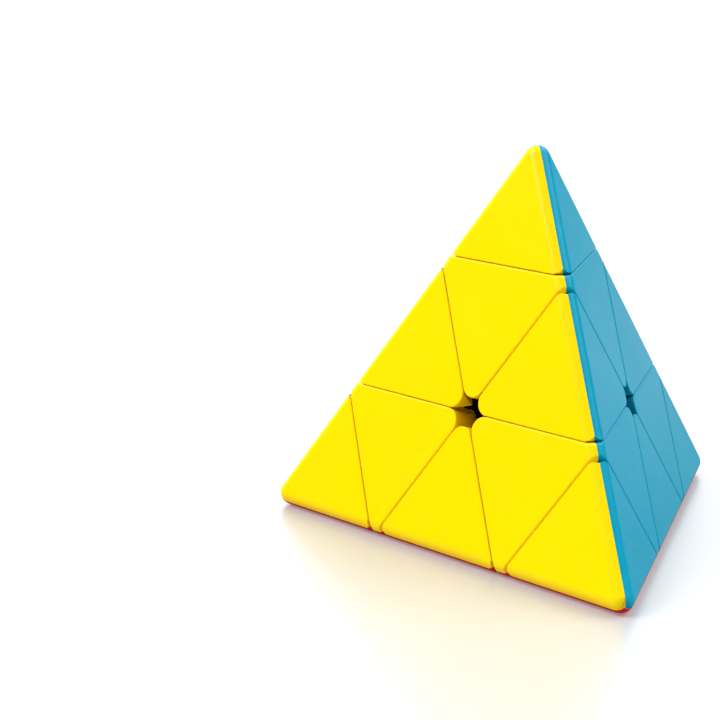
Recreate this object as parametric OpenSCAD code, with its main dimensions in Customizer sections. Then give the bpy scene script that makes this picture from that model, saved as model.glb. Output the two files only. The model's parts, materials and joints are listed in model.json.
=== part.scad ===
// Four-sided pyramid twisty puzzle: a core with four spring-loaded axes, four axial pieces,
// six edge pieces and four tips, each piece dressed in push-fit coloured caps.
// The origin is the centre of the core, where the four turning axes meet, and the pyramid
// stands on its red side with one corner straight up +Z.

/* [Puzzle] */
// Length of an edge of the pyramid between its sharp corners, before they are rounded
edge_len = 104; // [102:1:108]
// Radius of the rounding along the edges and at the corners of the pyramid
edge_round = 2.6; // [2:0.1:2.8]
// Radius of the tile corners around the star hole in the middle of each side
star_round = 2.8; // [2:0.1:3.2]
// Gap between pieces that turn past each other
seam = 0.3; // [0.2:0.05:0.4]
// Radius of the solid walls round each star hole, clear of the flanges
star_wall_r = 5.3; // [5:0.1:5.3]

/* [Coloured caps] */
// Wall thickness of the coloured caps
wall = 1.8; // [1.5:0.1:2]
// Radius of the round posts that plug the caps into the black pieces
post_r = 1.6; // [1.3:0.1:1.7]
// Depth below the side's surface that the posts of the axial caps reach
axial_post_depth = 8.9; // [8.5:0.1:9]
// Depth below the side's surface that the posts of the tip caps reach
tip_post_depth = 5; // [4.6:0.1:5.2]
// Radius of the pins that plug the edge caps into the edge feet
pin_r = 1.2; // [1:0.1:1.3]
// Radial play of posts, pins and outlines that plug together
fit = 0.05; // [0.03:0.01:0.08]

/* [Core and screws] */
// Radius of the core ball
core_r = 8; // [7.5:0.1:8]
// Radius of the four arms of the core
arm_r = 3.4; // [3:0.1:3.5]
// Distance from the centre to the end of an arm
arm_end = 10.5; // [10:0.1:10.5]
// Radius of the screw shank
screw_r = 1.25; // [1.1:0.05:1.3]
// Distance from the centre to the point of a screw
screw_start = 3.2; // [3:0.1:4]
// Distance from the centre to the underside of the screw head
head_z = 19.9; // [19.5:0.1:20.2]
// Radius of the screw head
head_r = 2.6; // [2.4:0.1:2.7]
// Radius of the washer under the screw head
washer_r = 3; // [2.8:0.1:3.1]
// Mean radius of the spring coil
spring_r = 2.3; // [2.2:0.05:2.4]
// Radius of the spring wire
wire_r = 0.3; // [0.25:0.05:0.35]
// Number of turns of each spring
spring_turns = 4; // [3:1:5]

/* [Turning shells] */
// Inner radius of the feet of the edge pieces, clear of the core ball
foot_in = 8.4; // [8.3:0.1:8.6]
// Radius of the ball surface where feet slide under the flanges of the axial pieces
track_in = 14; // [13.8:0.1:14.2]
// Radius of the ball surface where the caps slide over the flanges
track_out = 17; // [16.8:0.1:17.2]
// Half angle of the dished foot of an edge piece, seen from the centre
foot_angle = 28; // [24:1:28]
// Half angle of the flange of an axial piece, seen from the centre
flange_angle = 47; // [45:0.5:47]
// Thickness of the neck of an edge piece, along the edge
neck_x = 2.3; // [1.8:0.1:2.3]
// Width of the neck of an edge piece, across the edge
neck_y = 8; // [6:0.5:8]

/* [Axial pieces and tips] */
// Outer radius of the column of an axial piece
column_r = 6.5; // [6.2:0.1:6.6]
// Radius of the stalk under the flange
stalk_r = 4.5; // [4.3:0.1:4.7]
// Radius of the spring well in the column
well_r = 3.4; // [3.3:0.1:3.5]
// Outer radius of the collar that holds the tip
collar_r = 7.6; // [7.2:0.1:7.7]
// Radius of the stem of a tip
stem_r = 4; // [3.8:0.1:4]
// Running clearance around the stem
stem_play = 0.2; // [0.15:0.05:0.25]
// Radius of the barb that holds the stem under the collar
barb_r = 4.8; // [4.7:0.1:4.9]
// Radius of the round foot plate of a tip
disc_r = 5.9; // [5.6:0.1:6]
// Thickness of the ribs inside the caps
rib = 2.4; // [2:0.1:3]

/* [Hidden] */
$fn = 64;
// Angle between two turning axes, and half of it
axis_angle = acos(-1 / 3);
half_angle = axis_angle / 2;
// Tilt of a side's normal from the axis of a corner of that side
side_tilt = 180 - axis_angle;
// Distance from the centre to a side, to the layer cuts and to the tip cuts
side_d = edge_len / (2 * sqrt(6));
cut_d = side_d / 3;
tip_d = 5 * side_d / 3;
corner_d = 3 * side_d;
gap = seam / 2;
// Height of the middle of an edge of the pyramid above the centre
ridge_d = sqrt(3) * side_d;
// Distance in a side from its middle to the middle of an axial tile and of a tip tile
tile_h = edge_len / 3 * sin(60);
axial_tile_mid = 2 / 3 * tile_h;
tip_tile_mid = 4 / 3 * tile_h;
// Large enough to reach past the whole pyramid
big = 2 * edge_len;
// Distance from the centre at which the cones begin, inside the hollow of the feet
cone_from = 6;
// Half the width of the slabs that the blocks are cut from
slab = 0.45 * edge_len;
// Extra radius of the corner ball, so that it crosses the round edges and isn't tangent to them
corner_ease = 0.04;
// Overlap of solids that join, and of cutting shapes that meet
lap = 1;
// The arms of the core start inside its ball, where they don't meet each other
arm_start = core_r / 2 + lap;
// Height from which the tile corners at the star hole are cut, in the ball-shaped hollow
star_from = 11;
// Solid length at the corner of a tip cap, in wall thicknesses
corner_fill = 5;
// Distance of a layer's turning parts from the centre, past the flanges of the other corners
flange_clear = (track_out - gap) * cos(axis_angle - flange_angle) + seam;
// Height of the collar, which is flush with the top of the axial caps
collar_top = tip_d - gap;
collar_bottom = collar_top - wall;
// Axial piece: heights of the stalk, the spring well, the column and the room for the barb
stalk_z = arm_end + seam;
well_z = 13.5;
column_z = 15;
barb_room_z = 28;
barb_room_r = barb_r + 2 * stem_play;
// Radial play of the screw shank in the stalk and the washer
shank_play = 0.2;
// Stem of a tip: its barb, with a lead-in below, the slots that let it spring, and its bore
barb_top = collar_bottom - stem_play;
barb_h = 0.8;
barb_lead = 1.2;
stem_z = 30.5;
slot_w = 0.8;
slot_top = 33;
stem_bore_r = 2.4;
// Column inside a tip, on its foot plate
tip_column_r = 3;
tip_column_h = 11;
// Screw head, its cross slot, and the washer
head_h = 2;
cross_l = 3.4;
cross_w = 0.8;
cross_depth = 1;
point_r = 0.4;
point_h = 1;
washer_h = 0.5;
// Spring wire: steps round one turn and sides of the wire
turn_steps = 14;
wire_sides = 6;
spring_play = 0.1;
// Edge pieces: the neck starts inside the foot and ends inside the rib between the caps
neck_bottom = 12.5;
neck_top = 21;
neck_room = 0.1;
// Pins of the edge caps, whose ends meet with a small gap, and the bosses they stand on
pin_x = 7;
pin_z = 29.5;
pin_tip_y = 0.2;
boss_r = 2;
boss_end_y = 6;

// Corners of the pyramid, the compass angle of each, and the colour of the side opposite it
CORNER = ["top", "left", "right", "back"];
compass = [0, 210, 330, 90];
COLOUR = ["red", "blue", "green", "yellow"];
PAINT = ["#c41e26", "#0a96bd", "#179a4a", "#ffe600"];
BLACK = "#202124";
STEEL = "#b9bcc0";

// Edges: first corner, second corner, side on the +Y flank, side on the -Y flank
EDGE = [[0, 1, 3, 2], [0, 2, 1, 3], [0, 3, 2, 1], [1, 2, 3, 0], [2, 3, 1, 0], [3, 1, 2, 0]];

function edge_name(e) = str(CORNER[e[0]], "_", CORNER[e[1]], "_edge");
function cap_name(piece, side) = str(piece, "_", COLOUR[side], "_cap");
function sides_at(v) = [for (s = [0:3]) if (s != v) s];

// ---- Places ----

// Points +Z along the turning axis of corner v
module along(v) rotate([0, v == 0 ? 0 : axis_angle, compass[v]]) children();

// Carries a piece drawn at the top corner to corner v, by half a turn about the edge between them
module at_corner(v)
    if (v == 0) children();
    else rotate(180, [sin(half_angle) * cos(compass[v]), sin(half_angle) * sin(compass[v]),
                      cos(half_angle)]) children();

// The corner or side that lands on index s when a piece is carried from the top to corner v
function source(v, s) = v == 0 ? s : s == 0 ? v : s == v ? 0 : 6 - v - s;

// Carries a cap drawn at the top corner on the yellow side to corner v on side s
module at_corner_side(v, s)
    at_corner(v) rotate([0, 0, compass[source(v, s)] - compass[3]]) children();

// Edge frame: +Z out through the middle of the edge, +X along it to the second corner
module at_edge(e)
    if (e[0] == 0) rotate([0, half_angle, compass[e[1]]]) children();
    else rotate([0, 180 - half_angle, compass[6 - e[0] - e[1]] + 180]) rotate([0, 0, 90]) children();

// Side frame of the yellow side: +Z out of it, and +X from its middle towards the top corner
module at_yellow_side() rotate([0, side_tilt, 270]) rotate([0, 0, 180]) children();

// ---- Cutting shapes ----

module beyond(v, d) along(v) translate([-big / 2, -big / 2, d]) cube(big);
module nearer(v, d) along(v) translate([-big / 2, -big / 2, d - big]) cube(big);

// Cone about +Z that widens from the centre at half angle a, with its point cut off
module cone(a) rotate_extrude() polygon([
    [0, cone_from * cos(a)], cone_from * [sin(a), cos(a)], big * [sin(a), cos(a)], [0, big]
]);

// In the edge frame: what lies outside the rounding of the pyramid's edge
module edge_rounding() translate([0, 0, ridge_d - sqrt(3) * edge_round]) difference() {
    translate([-big / 2, -2 * edge_round, edge_round / sqrt(3)]) cube([big, 4 * edge_round, 4 * edge_round]);
    rotate([0, 90, 0]) cylinder(r = edge_round, h = 2 * big, center = true);
}

// What lies outside the ball that rounds the top corner
module corner_rounding() {
    ball_d = corner_d - 3 * edge_round;
    difference() {
        intersection_for (v = [1:3]) rotate([0, half_angle, compass[v]])
            translate([-ball_d * sin(half_angle) - big, -big / 2, -big / 2]) cube(big);
        translate([0, 0, ball_d]) rotate([90, 0, 0]) sphere(r = edge_round + corner_ease);
    }
}

// In a side frame: what lies outside the round corner of a tile that points at the star hole
module star_corner() {
    mid = 2 * (star_round + gap);
    difference() {
        translate([0, -star_round * 2, star_from]) cube([mid - star_round / 2, star_round * 4, big]);
        translate([mid, 0, 0]) cylinder(r = star_round, h = big);
    }
}

// In a side frame: the pillar round the star hole that the hollow of a cap leaves standing
module star_wall() cylinder(r = star_wall_r, h = side_d + wall);

// The hollow of a cap. Children: the block inside its walls, the star walls, and what of these
// would meet the flanges of the other corners as a layer turns
module cap_room() {
    difference() {
        children(0);
        children(1);
    }
    difference() {
        sphere(r = track_out + gap);
        difference() {
            children(1);
            children(2);
        }
    }
    sphere(r = track_in + gap);
}

// The third of a top piece that belongs to the yellow side
module yellow_third() linear_extrude(big)
    polygon([[0, 0], big * [cos(210), sin(210)], big * [cos(330), sin(330)]]);

// Plates along the planes that part the caps of a top piece
module ribs() for (v = [1:3]) rotate([0, 0, compass[v]]) translate([0, -rib / 2, 0]) cube([big, rib, big]);

// ---- Blocks: the whole outer form of a piece, drawn in by inset on every face ----

module axial_block(inset) difference() {
    low = cut_d + gap + inset;
    translate([-slab, -slab, low]) cube([2 * slab, 2 * slab, tip_d - gap - inset - low]);
    for (v = [1:3]) {
        beyond(v, cut_d - gap - inset);
        nearer(v, inset - side_d);
    }
}

module tip_block(inset) difference() {
    low = tip_d + gap + inset;
    high = inset > 0 ? corner_d - corner_fill * inset : corner_d + edge_round;
    translate([-slab, -slab, low]) cube([2 * slab, 2 * slab, high - low]);
    for (v = [1:3]) nearer(v, inset - side_d);
}

module edge_block(inset) difference() {
    translate([-slab, -slab, 0]) cube(2 * slab);
    for (s = [-1, 1]) {
        rotate([0, s * half_angle, 0]) translate([-big, -big, cut_d + gap + inset - 2 * big]) cube(2 * big);
        rotate([s * half_angle, 0, 0]) translate([-big, -big, side_d - inset]) cube(2 * big);
    }
}

// ---- Core, screws and springs ----

module core() color(BLACK) difference() {
    union() {
        sphere(r = core_r);
        for (v = [0:3]) along(v) translate([0, 0, arm_start]) cylinder(r = arm_r, h = arm_end - arm_start);
    }
    for (v = [0:3]) along(v) translate([0, 0, screw_start]) cylinder(r = screw_r + fit, h = arm_end);
}

module screw() difference() {
    union() {
        translate([0, 0, screw_start]) cylinder(r1 = point_r, r2 = screw_r, h = point_h);
        translate([0, 0, screw_start + point_h])
            cylinder(r = screw_r, h = head_z + head_h / 2 - screw_start - point_h);
        translate([0, 0, head_z]) cylinder(r = head_r, h = head_h);
    }
    for (a = [0, 90]) rotate([0, 0, a])
        translate([-cross_l / 2, -cross_w / 2, head_z + head_h - cross_depth])
            cube([cross_l, cross_w, head_h]);
}

module axis_screws() color(STEEL) for (v = [0:3]) along(v) screw();

module axis_washers() color(STEEL) for (v = [0:3]) along(v)
    translate([0, 0, head_z - washer_h]) difference() {
        cylinder(r = washer_r, h = washer_h);
        translate([0, 0, -washer_h]) cylinder(r = screw_r + shank_play, h = 3 * washer_h);
    }

// Wire swept along a helix, as rings of points joined by faces
module spring(z0, z1) {
    steps = spring_turns * turn_steps;
    points = [for (i = [0:steps]) for (j = [0:wire_sides - 1])
        let (a = 360 * i / turn_steps, b = 360 * j / wire_sides, r = spring_r + wire_r * cos(b))
            [r * cos(a), r * sin(a), z0 + (z1 - z0) * i / steps + wire_r * sin(b)]];
    first = [for (j = [wire_sides - 1:-1:0]) j];
    last = [for (j = [0:wire_sides - 1]) steps * wire_sides + j];
    walls = [for (i = [0:steps - 1]) for (j = [0:wire_sides - 1])
        let (k = (j + 1) % wire_sides, n = i * wire_sides)
            [n + j, n + k, n + wire_sides + k, n + wire_sides + j]];
    polyhedron(points, concat([first], walls, [last]));
}

module axis_springs() color(STEEL) for (v = [0:3]) along(v)
    spring(well_z + spring_play + wire_r, head_z - washer_h - spring_play - wire_r);

// ---- Axial pieces, drawn at the top corner ----

module axial_post(grow) at_yellow_side() translate([axial_tile_mid, 0, side_d - axial_post_depth])
    cylinder(r = post_r + grow, h = axial_post_depth - wall / 2);

module axial_hub() difference() {
    union() {
        translate([0, 0, stalk_z]) cylinder(r = stalk_r, h = column_z - stalk_z);
        intersection() {
            difference() {
                sphere(r = track_out - gap);
                sphere(r = track_in + gap);
            }
            cone(flange_angle);
        }
        translate([0, 0, column_z]) cylinder(r = column_r, h = collar_bottom - column_z);
        difference() {
            intersection() {
                ribs();
                axial_block(wall + fit);
            }
            sphere(r = track_out + gap);
        }
    }
    cylinder(r = screw_r + shank_play, h = well_z + lap);
    translate([0, 0, well_z]) cylinder(r = well_r, h = big);
    translate([0, 0, barb_room_z]) cylinder(r = barb_room_r, h = big);
    for (v = [1:3]) rotate([0, 0, compass[v]]) rotate([0, 0, -compass[3]]) axial_post(fit);
}

module axial_collar() translate([0, 0, collar_bottom]) difference() {
    cylinder(r = collar_r, h = wall);
    translate([0, 0, -wall]) cylinder(r = stem_r + stem_play, h = 3 * wall);
}

module axial_cap() {
    difference() {
        intersection() {
            axial_block(0);
            yellow_third();
        }
        cap_room() {
            axial_block(wall);
            at_yellow_side() star_wall();
            nearer(0, flange_clear);
        }
        for (v = [1, 2]) rotate([0, half_angle, compass[v]]) edge_rounding();
        at_yellow_side() star_corner();
        cylinder(r = collar_r + fit, h = big);
    }
    axial_post(0);
}

// ---- Tips, drawn at the top corner ----

module tip_post(grow) at_yellow_side() translate([tip_tile_mid, 0, side_d - tip_post_depth])
    cylinder(r = post_r + grow, h = tip_post_depth - wall / 2);

module tip_stem() difference() {
    union() {
        translate([0, 0, stem_z]) cylinder(r = stem_r, h = tip_d - stem_z + wall / 2);
        translate([0, 0, barb_top - barb_h - barb_lead]) cylinder(r1 = stem_r, r2 = barb_r, h = barb_lead);
        translate([0, 0, barb_top - barb_h]) cylinder(r = barb_r, h = barb_h);
        translate([0, 0, tip_d + gap]) cylinder(r = disc_r, h = wall);
        translate([0, 0, tip_d + gap]) cylinder(r = tip_column_r, h = tip_column_h);
        intersection() {
            ribs();
            tip_block(wall + fit);
        }
    }
    translate([0, 0, stem_z - lap]) cylinder(r = stem_bore_r, h = tip_d - stem_z + lap);
    for (a = [0, 90]) rotate([0, 0, a])
        translate([-big / 2, -slot_w / 2, stem_z - lap]) cube([big, slot_w, slot_top - stem_z + lap]);
    for (v = [1:3]) rotate([0, 0, compass[v] - compass[3]]) tip_post(fit);
}

module tip_cap() {
    difference() {
        intersection() {
            tip_block(0);
            yellow_third();
        }
        tip_block(wall);
        for (v = [1, 2]) rotate([0, half_angle, compass[v]]) edge_rounding();
        corner_rounding();
        cylinder(r = disc_r + fit, h = tip_d + gap + wall + lap);
    }
    tip_post(0);
}

// ---- Edge pieces, drawn in the edge frame ----

module neck(grow, from_z) translate([-neck_x / 2 - grow, -neck_y / 2 - grow, from_z])
    cube([neck_x + 2 * grow, neck_y + 2 * grow, neck_top + grow - from_z]);

module edge_pins(grow, from_y) for (s = [-1, 1]) translate([s * pin_x, from_y, pin_z])
    rotate([-90, 0, 0]) cylinder(r = pin_r + grow, h = boss_end_y - from_y);

module edge_foot() {
    difference() {
        intersection() {
            sphere(r = track_in - gap);
            cone(foot_angle);
        }
        sphere(r = foot_in);
    }
    difference() {
        union() {
            neck(0, neck_bottom);
            difference() {
                intersection() {
                    edge_block(wall + fit);
                    translate([-slab, -rib / 2, 0]) cube([2 * slab, rib, big]);
                }
                sphere(r = track_out + gap);
            }
        }
        translate([0, -boss_end_y, 0]) edge_pins(fit, 0);
        edge_pins(fit, 0);
    }
}

module edge_cap() {
    difference() {
        intersection() {
            edge_block(0);
            translate([-big / 2, 0, 0]) cube(big);
        }
        cap_room() {
            edge_block(wall);
            rotate([-half_angle, 0, 0]) star_wall();
            for (s = [-1, 1]) rotate([0, s * half_angle, 0])
                translate([-big / 2, -big / 2, flange_clear - big]) cube(big);
        }
        neck(neck_room, 0);
        edge_rounding();
        rotate([-half_angle, 0, 0]) rotate([0, 0, -90]) star_corner();
    }
    intersection() {
        union() {
            edge_pins(0, pin_tip_y);
            for (s = [-1, 1]) translate([s * pin_x, rib / 2, pin_z]) rotate([-90, 0, 0])
                cylinder(r = boss_r, h = boss_end_y - rib / 2);
        }
        edge_block(wall / 2);
    }
}

// ---- Drawing ----

core();
axis_screws();
axis_washers();
axis_springs();

for (v = [0:3]) {
    color(BLACK) at_corner(v) axial_hub();
    color(BLACK) at_corner(v) axial_collar();
    color(BLACK) at_corner(v) tip_stem();
    for (s = sides_at(v)) {
        color(PAINT[s]) at_corner_side(v, s) axial_cap();
        color(PAINT[s]) at_corner_side(v, s) tip_cap();
    }
}

for (e = EDGE) {
    color(BLACK) at_edge(e) edge_foot();
    color(PAINT[e[2]]) at_edge(e) edge_cap();
    color(PAINT[e[3]]) at_edge(e) rotate([0, 0, 180]) edge_cap();
}
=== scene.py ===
"""Looks of the pyramid twisty puzzle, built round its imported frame.

The coloured caps are modelled here with softened seams and thin walls, because
the frame's own caps have knife edges. The black and steel parts inside keep
their own meshes and are only painted. Lengths inside the cap models are in
millimetres and become metres when a cap is put in its place.
"""

import json
import logging
import math
from dataclasses import dataclass, field
from enum import Enum
from typing import Callable, Iterable

import bmesh
import bpy
from mathutils import Matrix, Vector

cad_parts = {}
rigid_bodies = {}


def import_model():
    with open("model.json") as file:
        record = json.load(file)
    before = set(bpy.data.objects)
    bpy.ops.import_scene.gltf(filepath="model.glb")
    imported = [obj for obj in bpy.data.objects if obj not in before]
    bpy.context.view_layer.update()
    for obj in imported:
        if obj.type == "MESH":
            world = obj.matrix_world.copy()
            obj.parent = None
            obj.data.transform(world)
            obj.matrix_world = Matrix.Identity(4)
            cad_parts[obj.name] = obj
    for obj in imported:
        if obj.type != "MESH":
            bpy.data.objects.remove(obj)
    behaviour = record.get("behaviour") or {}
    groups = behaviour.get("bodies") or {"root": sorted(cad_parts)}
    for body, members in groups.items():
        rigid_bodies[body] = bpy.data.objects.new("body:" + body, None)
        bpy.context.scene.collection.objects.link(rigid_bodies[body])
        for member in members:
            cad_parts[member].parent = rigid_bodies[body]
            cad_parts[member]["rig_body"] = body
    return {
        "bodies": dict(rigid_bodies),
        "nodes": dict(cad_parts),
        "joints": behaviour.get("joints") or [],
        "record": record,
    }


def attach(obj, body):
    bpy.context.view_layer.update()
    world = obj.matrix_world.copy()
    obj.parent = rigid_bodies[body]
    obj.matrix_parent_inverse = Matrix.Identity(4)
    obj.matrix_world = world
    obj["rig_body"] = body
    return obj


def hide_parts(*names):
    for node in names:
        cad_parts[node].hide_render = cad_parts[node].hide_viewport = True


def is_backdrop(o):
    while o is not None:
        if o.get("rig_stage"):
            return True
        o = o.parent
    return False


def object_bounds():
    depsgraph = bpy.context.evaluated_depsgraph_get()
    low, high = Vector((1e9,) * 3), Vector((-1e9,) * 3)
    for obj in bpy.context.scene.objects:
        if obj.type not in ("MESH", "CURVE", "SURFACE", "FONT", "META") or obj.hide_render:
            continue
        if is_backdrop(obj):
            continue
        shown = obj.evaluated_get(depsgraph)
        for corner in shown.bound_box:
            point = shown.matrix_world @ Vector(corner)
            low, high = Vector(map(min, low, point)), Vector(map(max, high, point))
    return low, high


LOG = logging.getLogger("puzzle")
MM = 0.001
Colour = tuple[float, float, float]


# ---------------------------------------------------------------- layout


class Corner(Enum):
    """A corner of the pyramid: its index, and the compass angle of its axis."""

    TOP = (0, 0.0)
    LEFT = (1, 210.0)
    RIGHT = (2, 330.0)
    BACK = (3, 90.0)

    @property
    def index(self) -> int:
        """Place of the corner in the order top, left, right, back."""
        return self.value[0]

    @property
    def compass(self) -> float:
        """Compass angle of the corner's axis, in radians."""
        return math.radians(self.value[1])

    @property
    def word(self) -> str:
        """The corner's word in the names of pieces."""
        return self.name.lower()


class Side(Enum):
    """A side of the pyramid, by colour. Its index is that of the corner opposite it."""

    RED = 0
    BLUE = 1
    GREEN = 2
    YELLOW = 3

    @property
    def word(self) -> str:
        """The side's word in the names of pieces."""
        return self.name.lower()


CORNERS = list(Corner)
# The two corners of each edge, and the side on either hand of it
EDGES = [
    (Corner.TOP, Corner.LEFT, Side.YELLOW, Side.GREEN),
    (Corner.TOP, Corner.RIGHT, Side.BLUE, Side.YELLOW),
    (Corner.TOP, Corner.BACK, Side.GREEN, Side.BLUE),
    (Corner.LEFT, Corner.RIGHT, Side.YELLOW, Side.RED),
    (Corner.RIGHT, Corner.BACK, Side.BLUE, Side.RED),
    (Corner.BACK, Corner.LEFT, Side.GREEN, Side.RED),
]
# Angle between the axes of two corners, and half of it
AXIS_ANGLE = math.acos(-1 / 3)
HALF_ANGLE = AXIS_ANGLE / 2
# Half the angle between two sides
HALF_DIHEDRAL = (math.pi - AXIS_ANGLE) / 2
# Half the angle of a tile's corner
HALF_TILE = math.radians(30)
# Points this near to each other are one, in millimetres
CLOSE = 1e-4
# Faces that meet at less than this angle are one
FLAT = math.radians(0.2)


@dataclass(frozen=True)
class Layout:
    """Distances that all pieces share, in millimetres, and where each piece goes.

    Attributes:
        side_d: Distance from the centre to each side.
        edge_round: Radius of the rounding along the edges and at the corners.
        star_round: Radius of the tile corners around the star holes.
        gap: Half the gap between pieces that turn past each other.
        wall: Wall thickness of the caps.
        track: Radius of the ball-shaped hollow over the flanges.
        track_floor: Radius of the ball-shaped hollow under the flanges.
        star_wall: Radius of the pillar of walls round a star hole.
        flange_clear: Distance along a corner's axis that its flange's turning neighbours need.
    """

    side_d: float
    edge_round: float = 2.6
    star_round: float = 2.8
    gap: float = 0.07
    wall: float = 1.8
    track: float = 17.15
    track_floor: float = 14.15
    star_wall: float = 5.3
    flange_clear: float = 8.1

    @property
    def cut_d(self) -> float:
        """Distance from the centre to the cuts under the layers."""
        return self.side_d / 3

    @property
    def tip_d(self) -> float:
        """Distance from the centre to the cuts under the tips."""
        return self.side_d * 5 / 3

    @property
    def corner_d(self) -> float:
        """Distance from the centre to a sharp corner."""
        return self.side_d * 3

    @property
    def tile_h(self) -> float:
        """Height of one of the nine triangles of a side."""
        return self.side_d * math.sqrt(2)

    @property
    def ridge_x(self) -> float:
        """Distance from a side's middle to the middle of a rounded ridge, along the side."""
        return self.tile_h - self.edge_round * (1 / math.tan(HALF_DIHEDRAL)
                                                - math.cos(HALF_DIHEDRAL))

    @property
    def seam_shift(self) -> float:
        """How far the leaning seams have moved along a side at the depth of a ridge's middle."""
        return self.edge_round * (1 - math.sin(HALF_DIHEDRAL)) / math.tan(2 * HALF_DIHEDRAL)

    @property
    def seam_gap(self) -> float:
        """Half the gap between the pieces, measured along a side."""
        return self.gap / math.sin(2 * HALF_DIHEDRAL)

    @staticmethod
    def axis(corner: Corner) -> Vector:
        """Unit vector from the centre to a corner."""
        if corner is Corner.TOP:
            return Vector((0, 0, 1))
        flat = math.sin(AXIS_ANGLE)
        return Vector((flat * math.cos(corner.compass), flat * math.sin(corner.compass),
                       math.cos(AXIS_ANGLE)))

    def at_corner(self, corner: Corner, side: Side) -> Matrix:
        """Carries a cap drawn at the top corner on the yellow side to its place.

        Args:
            corner: The corner that the cap belongs to.
            side: The side that it faces.

        Returns:
            The rotation about the centre.
        """
        v, s = corner.index, side.value
        source = s if v == 0 else v if s == 0 else 0 if s == v else 6 - v - s
        turn = CORNERS[source].compass - Corner.BACK.compass
        spin = Matrix.Rotation(turn, 4, "Z")
        if corner is Corner.TOP:
            return spin
        middle = Vector((math.sin(HALF_ANGLE) * math.cos(corner.compass),
                         math.sin(HALF_ANGLE) * math.sin(corner.compass), math.cos(HALF_ANGLE)))
        return Matrix.Rotation(math.pi, 4, middle) @ spin

    @staticmethod
    def edge_frame(first: Corner, second: Corner) -> Matrix:
        """Frame of an edge: +Z out through its middle, +X along it to the second corner."""
        if first is Corner.TOP:
            return (Matrix.Rotation(second.compass, 4, "Z")
                    @ Matrix.Rotation(HALF_ANGLE, 4, "Y"))
        third = CORNERS[6 - first.index - second.index]
        return (Matrix.Rotation(third.compass + math.pi, 4, "Z")
                @ Matrix.Rotation(math.pi - HALF_ANGLE, 4, "Y")
                @ Matrix.Rotation(math.pi / 2, 4, "Z"))

    @staticmethod
    def yellow_frame() -> Matrix:
        """Frame of the yellow side: +Z out of it, +X from its middle towards the top."""
        return (Matrix.Rotation(Corner.BACK.compass + math.pi, 4, "Z")
                @ Matrix.Rotation(math.pi - AXIS_ANGLE, 4, "Y")
                @ Matrix.Rotation(math.pi, 4, "Z"))


# ---------------------------------------------------------------- solid modelling


@dataclass(frozen=True)
class Plane:
    """A cutting plane that keeps what lies on its inner side."""

    normal: Vector
    distance: float


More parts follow.
